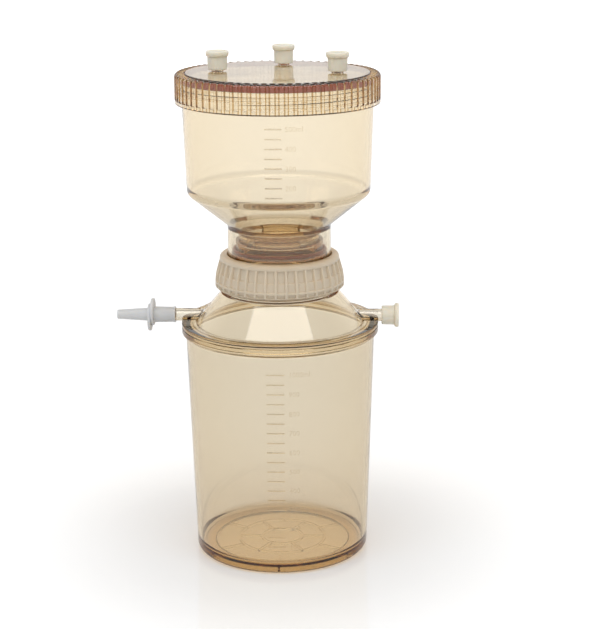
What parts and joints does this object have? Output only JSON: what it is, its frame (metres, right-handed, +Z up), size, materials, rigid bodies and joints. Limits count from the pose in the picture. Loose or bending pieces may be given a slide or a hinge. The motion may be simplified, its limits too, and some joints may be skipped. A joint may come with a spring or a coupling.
{
  "type": "vacuum filtration unit",
  "caption": "Clear amber vacuum filtration unit: lidded funnel chamber screwed by a ribbed collar onto a receiver vessel with side ports.",
  "frame": {"origin": "centre of the receiver's foot ring, on the bench plane", "axes": "+Z up along the vessel's axis; +X towards the capped side port, -X towards the hose tail; -Y towards the viewer"},
  "size_m": [0.1713, 0.1212, 0.3072],
  "materials": {
    "amber_plastic": "clear gloss",
    "collar_plastic": "satin",
    "cap_plastic": "satin",
    "coupling_plastic": "satin",
    "red_silicone": "matte"
  },
  "bodies": {
    "receiver": {"receiver_body": "amber_plastic", "receiver_shoulder": "amber_plastic", "neck_gasket": "red_silicone"},
    "chamber": {"upper_chamber": "amber_plastic"},
    "collar": {"locking_collar": "collar_plastic"},
    "plate": {"support_plate": "amber_plastic", "plate_seal_ring": "red_silicone"},
    "lid_seal": {"lid_gasket": "red_silicone"},
    "lid": {"lid": "amber_plastic"},
    "cap_left": {"lid_port_cap_left": "cap_plastic"},
    "cap_rear": {"lid_port_cap_rear": "cap_plastic"},
    "cap_right": {"lid_port_cap_right": "cap_plastic"},
    "side_cap": {"side_port_cap": "cap_plastic"},
    "socket": {"hose_socket": "coupling_plastic"},
    "tail": {"hose_tail": "coupling_plastic"}
  },
  "joints": [
    {"name": "chamber_lift", "type": "slide", "parent": "receiver", "child": "chamber", "axis": [0, 0, 1], "range_m": [0, 0.0105]},
    {"name": "collar_turn", "type": "hinge", "parent": "chamber", "child": "collar", "pos_m": [0, 0, 0.175], "axis": [0, 0, 1], "range_deg": [0, 720]},
    {"name": "plate_turn", "type": "hinge", "parent": "chamber", "child": "plate", "pos_m": [0, 0, 0.1904], "axis": [0, 0, 1], "range_deg": [0, 90]},
    {"name": "lid_lift", "type": "slide", "parent": "chamber", "child": "lid_seal", "axis": [0, 0, 1], "range_m": [0, 0.0084]},
    {"name": "lid_turn", "type": "hinge", "parent": "lid_seal", "child": "lid", "pos_m": [0, 0, 0.2884], "axis": [0, 0, 1], "range_deg": [0, 720]},
    {"name": "cap_left_pull", "type": "slide", "parent": "lid", "child": "cap_left", "axis": [0, 0, 1], "range_m": [0, 0.02]},
    {"name": "cap_rear_pull", "type": "slide", "parent": "lid", "child": "cap_rear", "axis": [0, 0, 1], "range_m": [0, 0.02]},
    {"name": "cap_right_pull", "type": "slide", "parent": "lid", "child": "cap_right", "axis": [0, 0, 1], "range_m": [0, 0.02]},
    {"name": "side_cap_pull", "type": "slide", "parent": "receiver", "child": "side_cap", "axis": [1, 0, 0], "range_m": [0, 0.02]},
    {"name": "socket_pull", "type": "slide", "parent": "receiver", "child": "socket", "axis": [-1, 0, 0], "range_m": [0, 0.02]},
    {"name": "tail_pull", "type": "slide", "parent": "socket", "child": "tail", "axis": [-1, 0, 0], "range_m": [0, 0.015]}
  ],
  "couplings": [
    {"joint": "chamber_lift", "follows": "collar_turn", "m_per_rad": 0.00079577},
    {"joint": "lid_lift", "follows": "lid_turn", "m_per_rad": 0.00063662}
  ]
}
